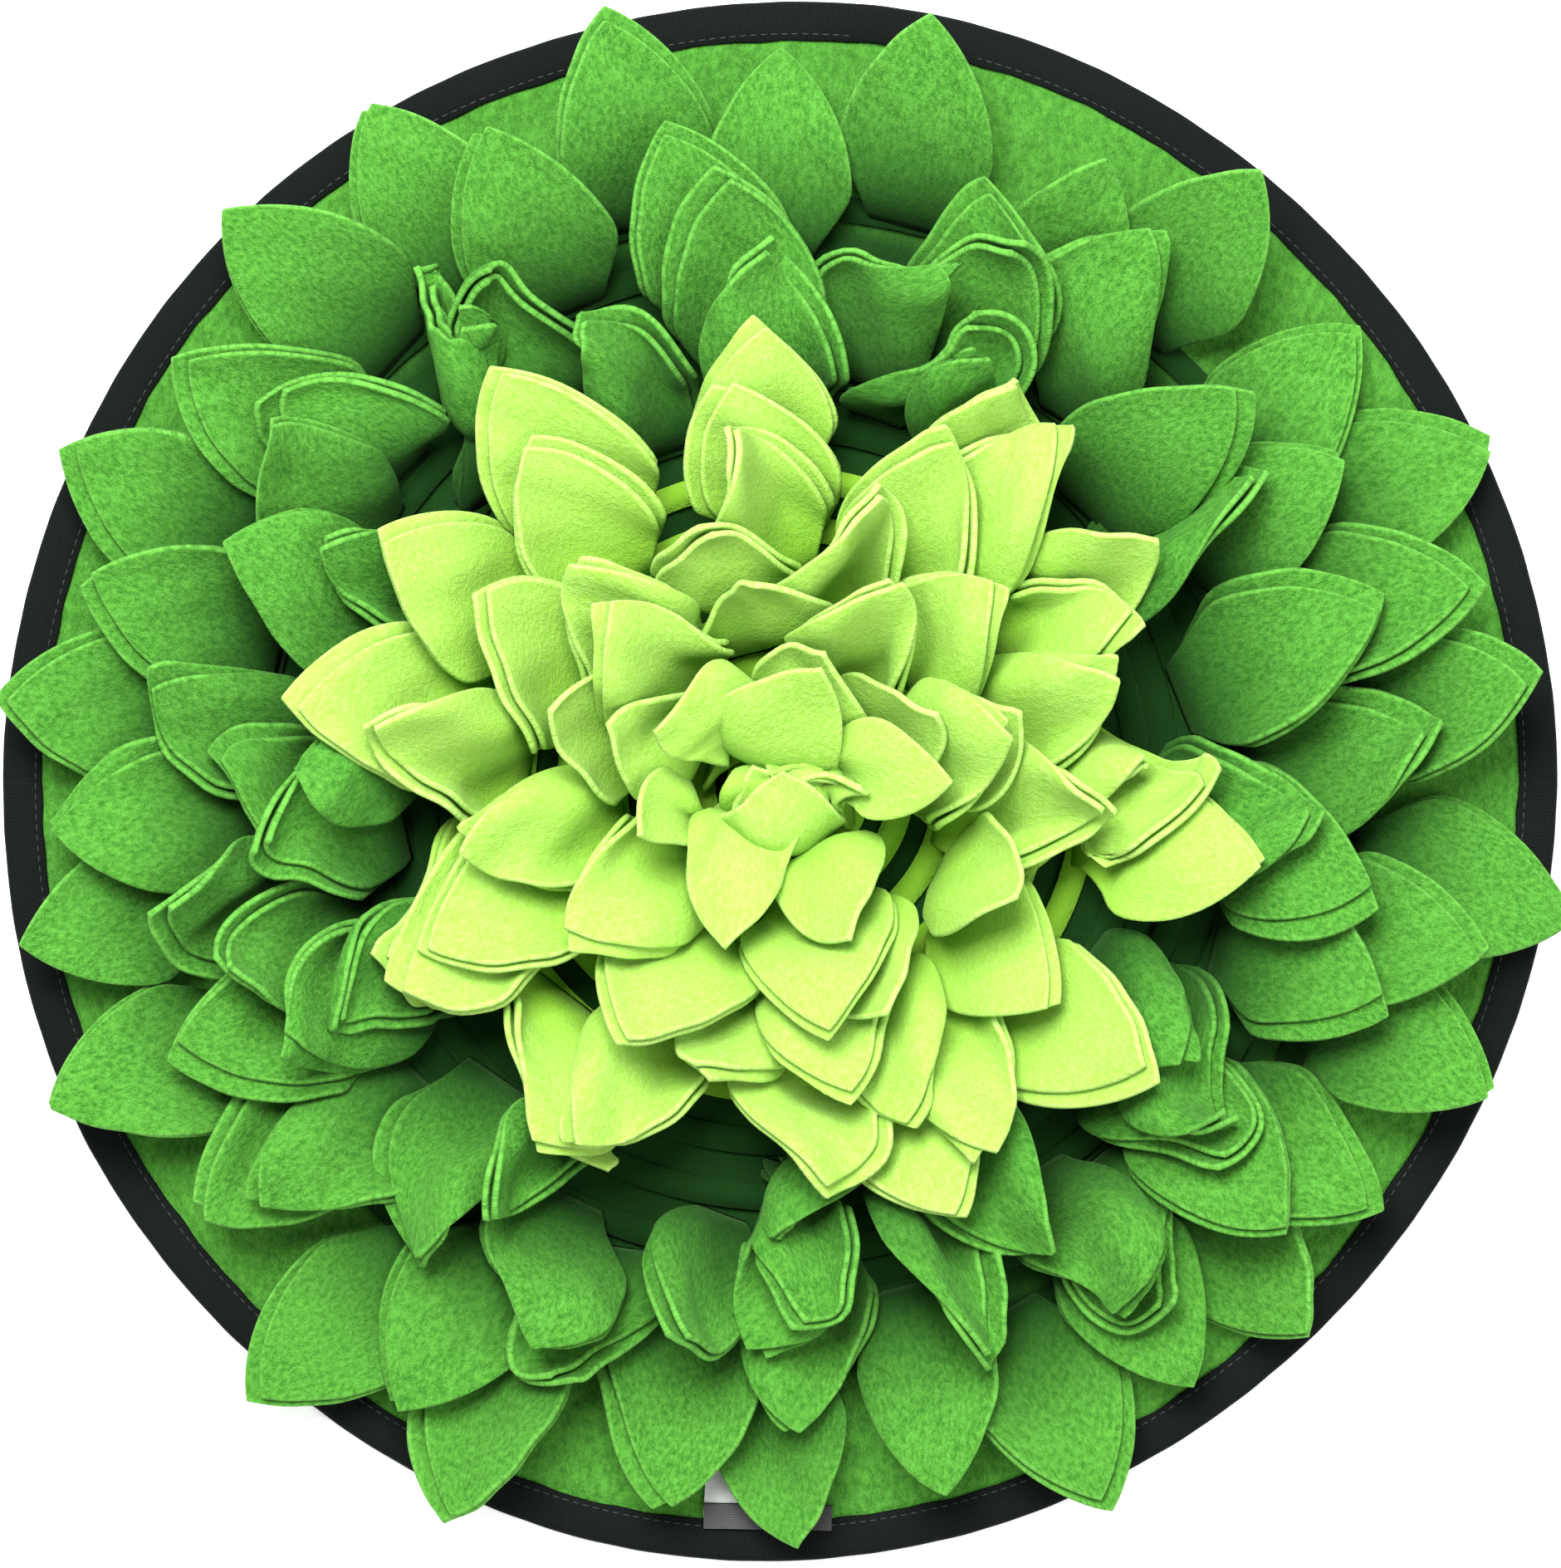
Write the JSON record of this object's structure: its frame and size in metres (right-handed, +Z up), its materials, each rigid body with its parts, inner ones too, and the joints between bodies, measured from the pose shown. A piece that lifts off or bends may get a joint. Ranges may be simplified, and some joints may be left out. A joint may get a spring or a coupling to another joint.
{
  "type": "snuffle mat",
  "caption": "Round fleece mat with a bound edge and rows of upright fleece petals, in which dry food is hidden for a dog to sniff out.",
  "frame": {"origin": "middle of the mat's underside, on the surface it lies on", "axes": "+Z up out of the petals; -Y towards the edge that carries the two small tabs"},
  "size_m": [0.4563, 0.4518, 0.0632],
  "materials": {
    "base_fleece": "napped polar fleece, mid green",
    "green_fleece": "napped polar fleece, bright green",
    "lime_fleece": "napped polar fleece, lime",
    "black_tape": "ribbed woven tape, black",
    "woven_tab": "close-woven satin tab, black, blank",
    "pale_satin": "printed-label satin, pale grey, blank"
  },
  "bodies": {
    "root": {"base": "base_fleece", "binding": "black_tape", "woven_label": "woven_tab", "care_label": "pale_satin", "green_petals_1": "green_fleece", "green_petals_2": "green_fleece", "green_petals_3": "green_fleece", "green_petals_4": "green_fleece", "green_petals_5": "green_fleece", "lime_petals_1": "lime_fleece", "lime_petals_2": "lime_fleece", "lime_petals_3": "lime_fleece", "lime_petals_4": "lime_fleece", "lime_petals_5": "lime_fleece", "lime_petals_6": "lime_fleece", "lime_petals_7": "lime_fleece"}
  },
  "joints": []
}
